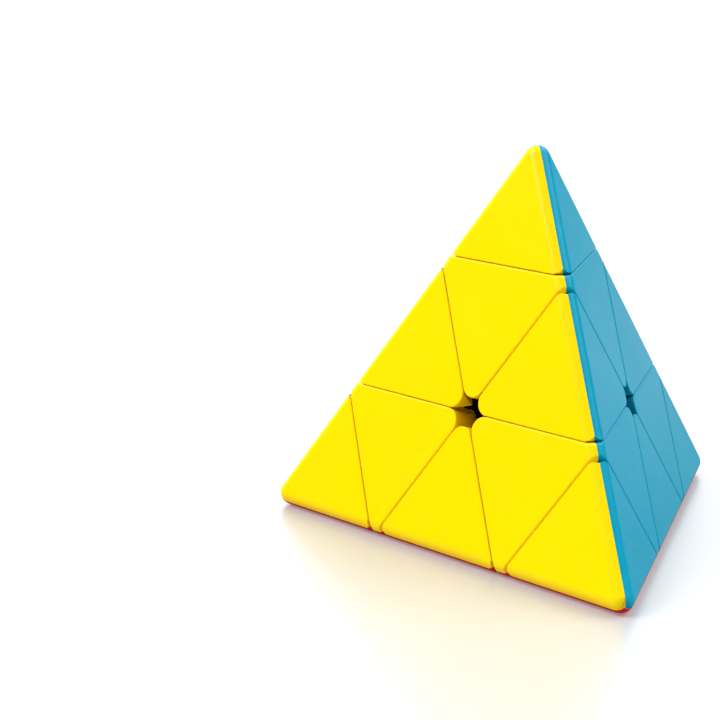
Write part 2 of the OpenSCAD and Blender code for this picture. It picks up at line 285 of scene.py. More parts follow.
class Solid:
    """A closed bmesh, in millimetres, that is cut, joined and bevelled in steps."""

    def __init__(self, bm: bmesh.types.BMesh) -> None:
        """Takes over a bmesh.

        Args:
            bm: A closed bmesh with its faces pointing outwards.
        """
        self.bm = bm

    @classmethod
    def box(cls, low: Vector, high: Vector, place: Matrix) -> "Solid":
        """Makes a box.

        Args:
            low: Lowest corner, in the frame that place stands for.
            high: Highest corner.
            place: Frame of the box.

        Returns:
            The new solid.
        """
        bm = bmesh.new()
        size = high - low
        matrix = place @ Matrix.Translation((low + high) / 2) @ Matrix.Diagonal((*size, 1))
        bmesh.ops.create_cube(bm, size=1, matrix=matrix)
        return cls(bm)

    @classmethod
    def rod(cls, radius: float, low: float, high: float, place: Matrix,
            segments: int = 48) -> "Solid":
        """Makes a cylinder along the Z axis of a frame.

        Args:
            radius: Radius of the cylinder.
            low: Start along Z.
            high: End along Z.
            place: Frame of the cylinder.
            segments: Number of flat faces round it.

        Returns:
            The new solid.
        """
        bm = bmesh.new()
        matrix = place @ Matrix.Translation((0, 0, (low + high) / 2))
        bmesh.ops.create_cone(bm, cap_ends=True, segments=segments, radius1=radius,
                              radius2=radius, depth=high - low, matrix=matrix)
        return cls(bm)

    @classmethod
    def ball(cls, radius: float) -> "Solid":
        """Makes a ball about the centre of the puzzle."""
        bm = bmesh.new()
        bmesh.ops.create_uvsphere(bm, u_segments=96, v_segments=48, radius=radius)
        return cls(bm)

    def trim(self, planes: Iterable[Plane]) -> "Solid":
        """Cuts off what lies outside each plane and closes the cut.

        Args:
            planes: The cutting planes.

        Returns:
            The same solid.
        """
        for plane in planes:
            geometry = [*self.bm.verts, *self.bm.edges, *self.bm.faces]
            cut = bmesh.ops.bisect_plane(
                self.bm, geom=geometry, dist=CLOSE / 10, plane_co=plane.normal * plane.distance,
                plane_no=plane.normal, clear_outer=True)
            rim = [g for g in cut["geom_cut"] if isinstance(g, bmesh.types.BMEdge)]
            if rim:
                bmesh.ops.contextual_create(self.bm, geom=rim)
        bmesh.ops.recalc_face_normals(self.bm, faces=self.bm.faces)
        return self

    def combine(self, operation: str, other: "Solid") -> "Solid":
        """Joins or cuts this solid with another one, which is used up.

        Args:
            operation: DIFFERENCE, UNION or INTERSECT.
            other: The other solid.

        Returns:
            The same solid.
        """
        objects = []
        for name, solid in (("work", self), ("tool", other)):
            mesh = bpy.data.meshes.new(name)
            solid.bm.to_mesh(mesh)
            objects.append(bpy.data.objects.new(name, mesh))
            bpy.context.scene.collection.objects.link(objects[-1])
        work, tool = objects
        modifier = work.modifiers.new("cut", "BOOLEAN")
        modifier.object, modifier.operation, modifier.solver = tool, operation, "MANIFOLD"
        result = work.evaluated_get(bpy.context.evaluated_depsgraph_get()).to_mesh()
        self.bm.clear()
        self.bm.from_mesh(result)
        other.bm.free()
        for thing in objects:
            mesh = thing.data
            bpy.data.objects.remove(thing)
            bpy.data.meshes.remove(mesh)
        return self

    def tidy(self) -> "Solid":
        """Merges points that fell together and dissolves lines inside flat faces."""
        bmesh.ops.remove_doubles(self.bm, verts=self.bm.verts, dist=CLOSE)
        bmesh.ops.dissolve_limit(self.bm, angle_limit=FLAT, verts=self.bm.verts,
                                 edges=self.bm.edges)
        return self

    def soften(self, chosen: Callable[[bmesh.types.BMEdge], bool], offset: float,
               segments: int) -> "Solid":
        """Rounds some of the edges.

        Args:
            chosen: Says whether an edge is rounded.
            offset: Width of the rounding on each face.
            segments: Number of faces across it.

        Returns:
            The same solid.
        """
        self.bm.normal_update()
        edges = [e for e in self.bm.edges if len(e.link_faces) == 2 and chosen(e)]
        bmesh.ops.bevel(self.bm, geom=edges, offset=offset, offset_type="OFFSET",
                        affect="EDGES", segments=segments, profile=0.5, material=-1,
                        clamp_overlap=False)
        return self


@dataclass
class RoundedPyramid:
    """The outer form of the whole puzzle: a pyramid with round edges and corners.

    Attributes:
        layout: The shared distances.
        steps: Number of faces across the rounding of an edge.
        skin_slack: How far a flat face of the rounding may lie under the true surface.
    """

    layout: Layout
    steps: int = 12
    skin_slack: float = 0.04

    def centres(self) -> list[Vector]:
        """Centres of the four corner balls."""
        reach = self.layout.corner_d - 3 * self.layout.edge_round
        return [self.layout.axis(c) * reach for c in CORNERS]

    def directions(self, corner: Corner) -> list[Vector]:
        """Directions from a corner ball's centre to the points of its patch.

        Args:
            corner: The corner.

        Returns:
            Unit vectors over the patch between the three sides that meet there.
        """
        a, b, c = (-self.layout.axis(k) for k in CORNERS if k is not corner)
        found = [a]
        for row in range(1, self.steps + 1):
            start, end = a.slerp(b, row / self.steps), a.slerp(c, row / self.steps)
            found += [start.slerp(end, k / row) for k in range(row + 1)]
        return found

    def build(self) -> Solid:
        """The whole rounded pyramid as one solid."""
        bm = bmesh.new()
        for corner, centre in zip(CORNERS, self.centres()):
            for way in self.directions(corner):
                bm.verts.new(centre + way * self.layout.edge_round)
        bmesh.ops.convex_hull(bm, input=bm.verts)
        bmesh.ops.dissolve_limit(bm, angle_limit=FLAT, verts=bm.verts, edges=bm.edges)
        bmesh.ops.recalc_face_normals(bm, faces=bm.faces)
        return Solid(bm)

    def is_skin(self, face: bmesh.types.BMFace) -> bool:
        """Whether a face is part of the outer surface, and not of a cut."""
        reach = max(face.normal.dot(c) for c in self.centres()) + self.layout.edge_round
        return face.normal.dot(face.calc_center_median()) > reach - self.skin_slack


# ---------------------------------------------------------------- coloured caps


@dataclass(frozen=True)
class TileCorner:
    """A corner of a tile at a ridge, drawn in a side frame and mirrored in its X axis.

    Attributes:
        x: Place along X, where the seam meets the middle of the ridge.
        y: Place along Y.
        into: Direction of the bisector that points into the tile.
        half: Half the corner's angle.
        radius: Radius that the corner is rounded with.
    """

    x: float
    y: float
    into: float
    half: float
    radius: float

    def cutters(self, frame: Matrix, low: float, high: float) -> list[Solid]:
        """What lies outside the rounded corner and its mirror image.

        Args:
            frame: The side frame.
            low: Depth that the cut starts from, along Z.
            high: Where it ends.

        Returns:
            The two cutters.
        """
        made = []
        middle = self.radius / math.sin(self.half)
        chord = middle - self.radius * math.sin(self.half)
        for sign in (-1, 1):
            place = (frame @ Matrix.Translation((self.x, sign * self.y, 0))
                     @ Matrix.Rotation(sign * self.into, 4, "Z"))
            cutter = Solid.box(Vector((-1, -2 * self.radius, low)),
                               Vector((chord, 2 * self.radius, high)), place)
            post = place @ Matrix.Translation((middle, 0, 0))
            made.append(cutter.combine("DIFFERENCE",
                                       Solid.rod(self.radius, low - 1, high + 1, post)))
        return made


@dataclass
class CapModel:
    """Base of the three kinds of cap, each drawn once at its home place.

    Attributes:
        layout: The shared distances.
        outer: The outer form of the whole puzzle.
        seam_soft: Width of the rounding along the seams.
        seam_segments: Number of faces across that rounding.
        notch_depth: How far down the tile corners at the ridges are rounded.
        star_from: Distance from the centre where the cut of the star hole starts.
        span: Half the size of the block that the hollow is cut from.
    """

    layout: Layout
    outer: RoundedPyramid
    seam_soft: float = 0.38
    seam_segments: int = 3
    notch_depth: float = 2.5
    star_from: float = 11.0
    span: float = 80.0

    def block_planes(self, inset: float) -> list[Plane]:
        """Planes that bound the whole piece, drawn in by an inset."""
        raise NotImplementedError

    def split_planes(self) -> list[Plane]:
        """Planes that part the caps of one piece from each other."""
        raise NotImplementedError

    def star_frames(self) -> list[Matrix]:
        """Side frames, turned towards the tile, for each tile corner at a star hole."""
        raise NotImplementedError

    def ridge_corners(self) -> list[TileCorner]:
        """The tile's corners at the ridges, in the first of the star frames."""
        raise NotImplementedError

    def own_corners(self) -> tuple[Corner, ...]:
        """The corners whose layers the home piece belongs to."""
        return ()

    def details(self, cap: Solid) -> None:
        """Cuts the holes of one cap and adds its posts."""
        raise NotImplementedError

    def side_planes(self, inset: float, without: Iterable[Corner] = ()) -> list[Plane]:
        """Planes of the sides, drawn in by an inset, apart from those opposite some corners."""
        return [Plane(-self.layout.axis(c), self.layout.side_d - inset)
                for c in CORNERS if c not in without]

    def side_frame(self) -> Matrix:
        """Frame of the yellow side, turned from its middle towards the tile."""
        return self.layout.yellow_frame()

    def star_wall(self) -> Solid:
        """The pillar round the yellow side's star hole that the hollow leaves standing."""
        return Solid.rod(self.layout.star_wall, 0, self.layout.side_d + self.layout.wall,
                         self.side_frame(), 64)

    def carve(self, cap: Solid) -> None:
        """Hollows out a cap.

        Args:
            cap: The solid cap.
        """
        lay = self.layout
        reach = Vector((self.span,) * 3)
        room = Solid.box(-reach, reach, Matrix.Identity(4)).trim(self.block_planes(lay.wall))
        track = Solid.ball(lay.track)
        if self.own_corners():
            room.combine("DIFFERENCE", self.star_wall())
            clear = [Plane(-lay.axis(c), -lay.flange_clear) for c in self.own_corners()]
            track.combine("DIFFERENCE", self.star_wall().trim(clear))
        cap.combine("DIFFERENCE", room)
        cap.combine("DIFFERENCE", track)
        cap.combine("DIFFERENCE", Solid.ball(lay.track_floor))

    def star_cutter(self, frame: Matrix) -> Solid:
        """What lies outside the round corner of a tile that points at a star hole."""
        r = self.layout.star_round
        middle = 2 * (r + self.layout.gap)
        low, high = self.star_from, self.layout.side_d + r
        cutter = Solid.box(Vector((0, -2 * r, low)), Vector((middle - r / 2, 2 * r, high)), frame)
        post = frame @ Matrix.Translation((middle, 0, 0))
        return cutter.combine("DIFFERENCE", Solid.rod(r, low - r, high + r, post, 96))

    def build(self) -> bpy.types.Mesh:
        """Models the cap at its home place.

        Returns:
            The finished mesh, in millimetres.
        """
        cap = self.outer.build().trim(self.block_planes(0.0))
        for frame in self.star_frames():
            cap.combine("DIFFERENCE", self.star_cutter(frame))
        cap.tidy()
        cap.soften(lambda e: self.outer.is_skin(e.link_faces[0])
                   != self.outer.is_skin(e.link_faces[1]), self.seam_soft, self.seam_segments)
        cap.trim(self.split_planes())
        skin = self.layout.side_d
        for corner in self.ridge_corners():
            for cutter in corner.cutters(self.side_frame(), skin - self.notch_depth, skin + 1):
                cap.combine("DIFFERENCE", cutter)
        self.carve(cap)
        self.details(cap)
        cap.tidy()
        mesh = bpy.data.meshes.new(type(self).__name__)
        cap.bm.to_mesh(mesh)
        cap.bm.free()
        return mesh


@dataclass
class AxialCap(CapModel):
    """Cap of an axial piece: the triangle whose point touches the star hole.

    Attributes:
        collar_r: Radius of the hole for the collar.
        nub_round: Radius of the tile corners at the ridges.
        post_r: Radius of the post that the cap is fixed by.
        post_depth: Reach of the post under the side.
    """

    collar_r: float = 7.65
    nub_round: float = 0.7
    post_r: float = 1.6
    post_depth: float = 8.9

    def block_planes(self, inset: float) -> list[Plane]:
        """Planes that bound the whole axial piece, drawn in by an inset."""
        lay = self.layout
        up = lay.axis(Corner.TOP)
        return [Plane(up, lay.tip_d - lay.gap - inset), Plane(-up, -(lay.cut_d + lay.gap + inset)),
                *(Plane(lay.axis(c), lay.cut_d - lay.gap - inset) for c in CORNERS[1:]),
                *self.side_planes(inset, (Corner.TOP,))]

    def split_planes(self) -> list[Plane]:
        """Planes on either side of the yellow third."""
        return [Plane(Vector((math.cos(a), math.sin(a), 0)), 0.0)
                for a in (4 * HALF_TILE, 2 * HALF_TILE)]

    def star_frames(self) -> list[Matrix]:
        """Frame of the yellow side and of the two sides beside it."""
        return [Matrix.Rotation(math.radians(a), 4, "Z") @ self.layout.yellow_frame()
                for a in (0, 120, 240)]

    def ridge_corners(self) -> list[TileCorner]:
        """The two corners of the nub at each end of the tile's outer edge."""
        lay = self.layout
        found = []
        for x, into in ((lay.tile_h + lay.seam_shift - lay.seam_gap, -5 * HALF_TILE),
                        (lay.ridge_x + lay.seam_gap - lay.seam_shift, -3 * HALF_TILE)):
            y = (lay.ridge_x - x / 2) / math.cos(HALF_TILE)
            found.append(TileCorner(x, y, into, 2 * HALF_TILE, self.nub_round))
        return found

    def own_corners(self) -> tuple[Corner, ...]:
        """The top corner."""
        return (Corner.TOP,)

    def details(self, cap: Solid) -> None:
        """Cuts the hole for the collar and adds the post."""
        lay = self.layout
        cap.combine("DIFFERENCE", Solid.rod(self.collar_r, 0, lay.corner_d, Matrix.Identity(4), 96))
        place = lay.yellow_frame() @ Matrix.Translation((2 / 3 * lay.tile_h, 0, 0))
        cap.combine("UNION", Solid.rod(self.post_r, lay.side_d - self.post_depth,
                                       lay.side_d - lay.wall / 2, place))


@dataclass
class TipCap(CapModel):
    """Cap of a tip: the triangle at a corner of a side.

    Attributes:
        foot_r: Radius of the hole for the foot plate of the stem.
        ridge_round: Radius of the tile corners at the ridges.
        post_r: Radius of the post that the cap is fixed by.
        post_depth: Reach of the post under the side.
        corner_fill: Depth of solid plastic at the corner.
    """

    foot_r: float = 5.95
    ridge_round: float = 1.0
    post_r: float = 1.6
    post_depth: float = 5.0
    corner_fill: float = 9.0

    def block_planes(self, inset: float) -> list[Plane]:
        """Planes that bound the whole tip, drawn in by an inset."""
        lay = self.layout
        up = lay.axis(Corner.TOP)
        planes = [Plane(-up, -(lay.tip_d + lay.gap + inset)),
                  *self.side_planes(inset, (Corner.TOP,))]
        if inset:
            planes.append(Plane(up, lay.corner_d - self.corner_fill))
        return planes

    def split_planes(self) -> list[Plane]:
        """Planes on either side of the yellow third."""
        return [Plane(Vector((math.cos(a), math.sin(a), 0)), 0.0)
                for a in (4 * HALF_TILE, 2 * HALF_TILE)]

    def star_frames(self) -> list[Matrix]:
        """A tip doesn't reach a star hole."""
        return []

    def ridge_corners(self) -> list[TileCorner]:
        """The two corners of the tile at the seam under the tip."""
        lay = self.layout
        x = lay.tile_h + lay.seam_shift + lay.seam_gap
        y = (lay.ridge_x - x / 2) / math.cos(HALF_TILE)
        return [TileCorner(x, y, -2 * HALF_TILE, HALF_TILE, self.ridge_round)]

    def details(self, cap: Solid) -> None:
        """Cuts the hole for the foot plate of the stem and adds the post."""
        lay = self.layout
        cap.combine("DIFFERENCE", Solid.rod(self.foot_r, lay.cut_d,
                                            lay.tip_d + lay.gap + lay.wall + 1,
                                            Matrix.Identity(4), 96))
        place = lay.yellow_frame() @ Matrix.Translation((4 / 3 * lay.tile_h, 0, 0))
        cap.combine("UNION", Solid.rod(self.post_r, lay.side_d - self.post_depth,
                                       lay.side_d - lay.wall / 2, place))


@dataclass
class EdgeCap(CapModel):
    """Cap of an edge piece: the triangle on one side of the edge's middle.

    Attributes:
        ridge_round: Radius of the tile corners at the ridges.
        neck: Half widths and top of the room for the foot's neck.
        pin_r: Radius of the two pins.
        boss_r: Radius of the bosses that they stand on.
        pin_x: Distance of the pins from the middle of the edge.
        pin_z: Their height.
        pin_start: Gap between a pin's end and the middle plane.
        boss_start: Gap between a boss and the middle plane.
        boss_end: Where both end, inside the wall.
    """

    ridge_round: float = 1.0
    neck: Vector = field(default_factory=lambda: Vector((1.25, 4.1, 21.1)))
    pin_r: float = 1.2
    boss_r: float = 2.0
    pin_x: float = 7.0
    pin_z: float = 29.5
    pin_start: float = 0.2
    boss_start: float = 1.2
    boss_end: float = 6.0

    @property
    def home(self) -> Matrix:
        """Edge frame of the home place, between the top and left corners."""
        return self.layout.edge_frame(Corner.TOP, Corner.LEFT)

    def block_planes(self, inset: float) -> list[Plane]:
        """Planes that bound the whole edge piece, drawn in by an inset."""
        lay = self.layout
        return [*(Plane(-lay.axis(c), -(lay.cut_d + lay.gap + inset))
                  for c in (Corner.TOP, Corner.LEFT)),
                *self.side_planes(inset, (Corner.TOP, Corner.LEFT))]

    def split_planes(self) -> list[Plane]:
        """Plane along the middle of the edge."""
        return [Plane(self.home.to_3x3() @ Vector((0, -1, 0)), 0.0)]

    def star_frames(self) -> list[Matrix]:
        """Frames of the two sides, turned from the star hole towards the edge."""
        return [self.home @ Matrix.Rotation(turn, 4, "Z") @ Matrix.Rotation(-HALF_ANGLE, 4, "X")
                @ Matrix.Rotation(-math.pi / 2, 4, "Z") for turn in (0, math.pi)]

    def side_frame(self) -> Matrix:
        """Frame of the yellow side, turned from its middle towards the edge."""
        return self.star_frames()[0]

    def ridge_corners(self) -> list[TileCorner]:
        """The two corners of the tile at the ends of its outer edge."""
        lay = self.layout
        y = (lay.ridge_x / 2 - lay.seam_shift - lay.seam_gap) / math.cos(HALF_TILE)
        return [TileCorner(lay.ridge_x, y, -4 * HALF_TILE, HALF_TILE, self.ridge_round)]

    def own_corners(self) -> tuple[Corner, ...]:
        """The two corners at the ends of the edge."""
        return (Corner.TOP, Corner.LEFT)

    def details(self, cap: Solid) -> None:
        """Cuts the room for the neck and adds the pins on their bosses."""
        half = self.neck
        cap.combine("DIFFERENCE", Solid.box(Vector((-half.x, -half.y, 0)), half, self.home))
        for x in (-self.pin_x, self.pin_x):
            place = (self.home @ Matrix.Translation((x, 0, self.pin_z))
                     @ Matrix.Rotation(-math.pi / 2, 4, "X"))
            pin = Solid.rod(self.pin_r, self.pin_start, self.boss_end, place, 32)
            pin.combine("UNION", Solid.rod(self.boss_r, self.boss_start, self.boss_end, place, 32))
            pin.trim(self.block_planes(self.layout.wall / 2))
            cap.combine("UNION", pin)


# ---------------------------------------------------------------- finishes


class Tree:
    """Shorthand for building a node tree."""

    def __init__(self, tree: bpy.types.NodeTree) -> None:
        """Takes over a node tree.

        Args:
            tree: The tree to add to.
        """
        self.tree = tree

    def add(self, kind: str, **sockets: object) -> bpy.types.Node:
        """Adds a node and fills its inputs.

        Args:
            kind: Type of the node, without the ShaderNode prefix.
            **sockets: Values or output sockets by input name, with _ for a space.
                Names in lower case set a property of the node itself.

        Returns:
            The new node.
        """
        node = self.tree.nodes.new("ShaderNode" + kind)
        for name, value in sockets.items():
            if name[0].islower():
                setattr(node, name, value)
        for name, value in sockets.items():
            if not name[0].islower():
                self.feed(node.inputs[name.replace("_", " ")], value)
        return node

    def feed(self, socket: bpy.types.NodeSocket, value: object) -> None:
        """Links an output to an input, or sets the input's own value."""
        if isinstance(value, bpy.types.NodeSocket):
            self.tree.links.new(value, socket)
        else:
            socket.default_value = value

    def math(self, operation: str, first: object, second: object = 0.0) -> bpy.types.NodeSocket:
        """Adds a Math node.

        Args:
            operation: Name of the operation.
            first: First value or socket.
            second: Second value or socket.

        Returns:
            The result's socket.
        """
        node = self.tree.nodes.new("ShaderNodeMath")
        node.operation = operation
        self.feed(node.inputs[0], first)
        self.feed(node.inputs[1], second)
        return node.outputs[0]

    def span(self, value: object, low: float, high: float, to_low: float,
             to_high: float) -> bpy.types.NodeSocket:
        """Maps a range of a value to another range, clamped.

        Args:
            value: The value or socket.
            low: Start of the range.
            high: End of the range.
            to_low: What the start becomes.
            to_high: What the end becomes.

        Returns:
            The result's socket.
        """
        node = self.add("MapRange", Value=value, From_Min=low, From_Max=high, To_Min=to_low,
                        To_Max=to_high)
        return node.outputs["Result"]

    def mix(self, factor: object, first: object, second: object) -> bpy.types.NodeSocket:
        """Mixes two colours.

        Args:
            factor: Share of the second colour.
            first: First colour or socket.
            second: Second colour or socket.

        Returns:
            The mixed colour's socket.
        """
        node = self.tree.nodes.new("ShaderNodeMix")
        node.data_type = "RGBA"
        self.feed(node.inputs["Factor"], factor)
        self.feed(node.inputs[6], first)
        self.feed(node.inputs[7], second)
        return node.outputs[2]


def rgba(colour: Colour) -> tuple[float, float, float, float]:
    """A colour with full opacity."""
    return (*colour, 1.0)


class Effect:
    """A shader node group that several finishes share, built once.

    Attributes:
        NAME: Name of the group.
        INPUTS: Name, socket type and default of each input.
        OUTPUTS: Name and socket type of each output.
    """

    NAME = ""
    INPUTS: list[tuple[str, str, object]] = []
    OUTPUTS: list[tuple[str, str]] = []

    def group(self) -> bpy.types.NodeTree:
        """The node group, made on first use."""
        found = bpy.data.node_groups.get(self.NAME)
        if found:
            return found
        made = bpy.data.node_groups.new(self.NAME, "ShaderNodeTree")
        for name, kind, default in self.INPUTS:
            socket = made.interface.new_socket(name, in_out="INPUT", socket_type=kind)
            if default is not None:
                socket.default_value = default
        for name, kind in self.OUTPUTS:
            made.interface.new_socket(name, in_out="OUTPUT", socket_type=kind)
        source = made.nodes.new("NodeGroupInput")
        sink = made.nodes.new("NodeGroupOutput")
        for name, socket in self.wire(Tree(made), source.outputs).items():
            made.links.new(socket, sink.inputs[name])
        return made

    def wire(self, tree: Tree, given: bpy.types.NodeOutputs) -> dict[str, bpy.types.NodeSocket]:
        """Builds the inside of the group.

        Args:
            tree: The group's tree.
            given: The group's input sockets.

        Returns:
            The socket that feeds each output.
        """
        raise NotImplementedError

    def use(self, tree: Tree, **sockets: object) -> bpy.types.Node:
        """Places the group in a material.

        Args:
            tree: The material's tree.
            **sockets: Values or sockets by input name, with _ for a space.

        Returns:
            The group's node.
        """
        node = tree.tree.nodes.new("ShaderNodeGroup")
        node.node_tree = self.group()
        for name, value in sockets.items():
            tree.feed(node.inputs[name.replace("_", " ")], value)
        return node


class MouldedSurface(Effect):
    """Fine texture of moulded plastic: long ripples of the flow and a faint orange peel."""

    NAME = "moulded_surface"
    INPUTS = [("Vector", "NodeSocketVector", None), ("Ripple", "NodeSocketFloat", 1.0),
              ("Peel", "NodeSocketFloat", 1.0)]
    OUTPUTS = [("Height", "NodeSocketFloat")]

    def wire(self, tree: Tree, given: bpy.types.NodeOutputs) -> dict[str, bpy.types.NodeSocket]:
        """Adds slow ripples and fine peel."""
        slow = tree.add("TexNoise", Vector=given["Vector"], Scale=55.0, Detail=1.0)
        fine = tree.add("TexNoise", Vector=given["Vector"], Scale=900.0, Detail=2.0)
        ripple = tree.math("MULTIPLY", slow.outputs["Fac"], given["Ripple"])
        peel = tree.math("MULTIPLY", fine.outputs["Fac"], given["Peel"])
        return {"Height": tree.math("ADD", ripple, peel)}


class HandlingMarks(Effect):
    """Marks of use: smears where fingers hold the puzzle and hair-thin scratches."""

    NAME = "handling_marks"
    INPUTS = [("Vector", "NodeSocketVector", None), ("Rim", "NodeSocketFloat", 0.0)]
    OUTPUTS = [("Smear", "NodeSocketFloat"), ("Scratch", "NodeSocketFloat"),
               ("Worn", "NodeSocketFloat")]

    def wire(self, tree: Tree, given: bpy.types.NodeOutputs) -> dict[str, bpy.types.NodeSocket]:
        """Builds the three masks."""
        cloud = tree.add("TexNoise", Vector=given["Vector"], Scale=70.0, Detail=4.0,
                         Roughness=0.6, Distortion=0.6)
        smear = tree.span(cloud.outputs["Fac"], 0.42, 0.68, 0.0, 1.0)
        turned = tree.add("Mapping", Vector=given["Vector"], Rotation=(0.5, 0.9, 0.3),
                          Scale=(2200.0, 90.0, 90.0))
        hair = tree.add("TexNoise", Vector=turned.outputs[0], Scale=1.0, Detail=1.0)
        patch = tree.add("TexNoise", Vector=given["Vector"], Scale=120.0, Detail=1.0)
        scratch = tree.math("MULTIPLY", tree.span(hair.outputs["Fac"], 0.66, 0.72, 0.0, 1.0),
                            tree.span(patch.outputs["Fac"], 0.52, 0.62, 0.0, 1.0))
        nick = tree.add("TexNoise", Vector=given["Vector"], Scale=420.0, Detail=3.0)
        worn = tree.math("MULTIPLY", given["Rim"],
                         tree.span(nick.outputs["Fac"], 0.45, 0.7, 0.0, 1.0))
        return {"Smear": smear, "Scratch": scratch, "Worn": worn}


class ToneDrift(Effect):
    """Slow drift of a colour between two tones."""

    NAME = "tone_drift"
    INPUTS = [("Vector", "NodeSocketVector", None), ("Tone", "NodeSocketColor", None),
              ("Other Tone", "NodeSocketColor", None), ("Scale", "NodeSocketFloat", 40.0)]
    OUTPUTS = [("Color", "NodeSocketColor")]

    def wire(self, tree: Tree, given: bpy.types.NodeOutputs) -> dict[str, bpy.types.NodeSocket]:
        """Mixes the tones by a soft noise."""
        cloud = tree.add("TexNoise", Vector=given["Vector"], Scale=given["Scale"], Detail=2.0)
        share = tree.span(cloud.outputs["Fac"], 0.35, 0.65, 0.0, 1.0)
        return {"Color": tree.mix(share, given["Tone"], given["Other Tone"])}


def fresh_material(name: str) -> tuple[bpy.types.Material, Tree, bpy.types.Node]:
    """Makes an empty material with a Principled shader.

    Args:
        name: Name of the material.

    Returns:
        The material, its tree and the shader node.
    """
    material = bpy.data.materials.new(name)
    material.use_nodes = True
    material.node_tree.nodes.clear()
    tree = Tree(material.node_tree)
    shader = tree.add("BsdfPrincipled")
    tree.add("OutputMaterial", Surface=shader.outputs[0])
    return material, tree, shader


@dataclass(frozen=True)
class CapFinish:
    """Glossy solid-coloured plastic of the caps.

    Attributes:
        slot: The record's material slot.
        colour: Main tone.
        other: Second tone that the colour drifts to.
        worn: Tone of rubbed edges.
        specular: Strength of the gloss, where 0.5 is that of common plastic.
        roughness: Roughness where the surface is clean.
        smear: Roughness that finger marks add.
        scratch: Roughness that scratches add.
        wear: Share of the worn tone on a rubbed edge.
    """

    slot: str
    colour: Colour
    other: Colour
    worn: Colour
    specular: float = 0.12
    roughness: float = 0.22
    smear: float = 0.05
    scratch: float = 0.06
    wear: float = 0.5

    def material(self) -> bpy.types.Material:
        """Builds the material."""
        material, tree, shader = fresh_material(self.slot)
        place = tree.add("TexCoord").outputs["Object"]
        rim = tree.add("Attribute", attribute_name="rim").outputs["Fac"]
        tone = ToneDrift().use(tree, Vector=place, Tone=rgba(self.colour),
                               Other_Tone=rgba(self.other), Scale=30.0)
        marks = HandlingMarks().use(tree, Vector=place, Rim=rim)
        surface = MouldedSurface().use(tree, Vector=place, Ripple=0.05, Peel=0.01)
        worn = tree.math("MULTIPLY", marks.outputs["Worn"], self.wear)
        tree.feed(shader.inputs["Base Color"],
                  tree.mix(worn, tone.outputs["Color"], rgba(self.worn)))
        rough = tree.math("ADD", self.roughness,
                          tree.math("MULTIPLY", marks.outputs["Smear"], self.smear))
        rough = tree.math("ADD", rough,
                          tree.math("MULTIPLY", marks.outputs["Scratch"], self.scratch))
        tree.feed(shader.inputs["Roughness"], rough)
        shader.inputs["Specular IOR Level"].default_value = self.specular
        bump = tree.add("Bump", Height=surface.outputs["Height"], Strength=0.25,
                        Distance=0.0004)
        tree.feed(shader.inputs["Normal"], bump.outputs[0])
        return material


@dataclass(frozen=True)
class BlackFinish:
    """Black moulded plastic of the parts inside, with a film of grease.

    Attributes:
        slot: The record's material slot.
        colour: Main tone.
        dust: Tone of the dust and grease that gather on it.
        roughness: Roughness of the dry plastic.
    """

    slot: str
    colour: Colour
    dust: Colour
    roughness: float = 0.5

    def material(self) -> bpy.types.Material:
        """Builds the material."""
        material, tree, shader = fresh_material(self.slot)
        place = tree.add("TexCoord").outputs["Object"]
        tone = ToneDrift().use(tree, Vector=place, Tone=rgba(self.colour),
                               Other_Tone=rgba(self.dust), Scale=160.0)
        marks = HandlingMarks().use(tree, Vector=place, Rim=0.0)
        surface = MouldedSurface().use(tree, Vector=place, Ripple=0.3, Peel=0.35)
        tree.feed(shader.inputs["Base Color"], tone.outputs["Color"])
        rough = tree.math("SUBTRACT", self.roughness,
                          tree.math("MULTIPLY", marks.outputs["Smear"], 0.22))
        tree.feed(shader.inputs["Roughness"], rough)
        bump = tree.add("Bump", Height=surface.outputs["Height"], Strength=0.4, Distance=0.0002)
        tree.feed(shader.inputs["Normal"], bump.outputs[0])
        return material


@dataclass(frozen=True)
class SteelFinish:
    """Plated or drawn steel of the screws, washers and springs.

    Attributes:
        slot: The record's material slot.
        colour: Tone of the bare metal.
        stain: Tone of the plating's stains.
        roughness: Roughness of the clean metal.
        lines: Number of drawing lines per metre.
    """

    slot: str
    colour: Colour
    stain: Colour
    roughness: float
    lines: float

    def material(self) -> bpy.types.Material:
        """Builds the material."""
        material, tree, shader = fresh_material(self.slot)
        place = tree.add("TexCoord").outputs["Object"]
        tone = ToneDrift().use(tree, Vector=place, Tone=rgba(self.colour),
                               Other_Tone=rgba(self.stain), Scale=350.0)
        tree.feed(shader.inputs["Base Color"], tone.outputs["Color"])
        marks = HandlingMarks().use(tree, Vector=place, Rim=0.0)
        drawn = tree.add("Mapping", Vector=place, Scale=(self.lines, self.lines, self.lines / 20))
        line = tree.add("TexNoise", Vector=drawn.outputs[0], Scale=1.0, Detail=2.0)
        rough = tree.math("ADD", self.roughness,
                          tree.span(line.outputs["Fac"], 0.3, 0.7, 0.0, 0.15))
        rough = tree.math("ADD", rough, tree.math("MULTIPLY", marks.outputs["Smear"], 0.1))
        tree.feed(shader.inputs["Roughness"], rough)
        shader.inputs["Metallic"].default_value = 1.0
        bump = tree.add("Bump", Height=line.outputs["Fac"], Strength=0.3, Distance=0.00005)
        tree.feed(shader.inputs["Normal"], bump.outputs[0])
        return material


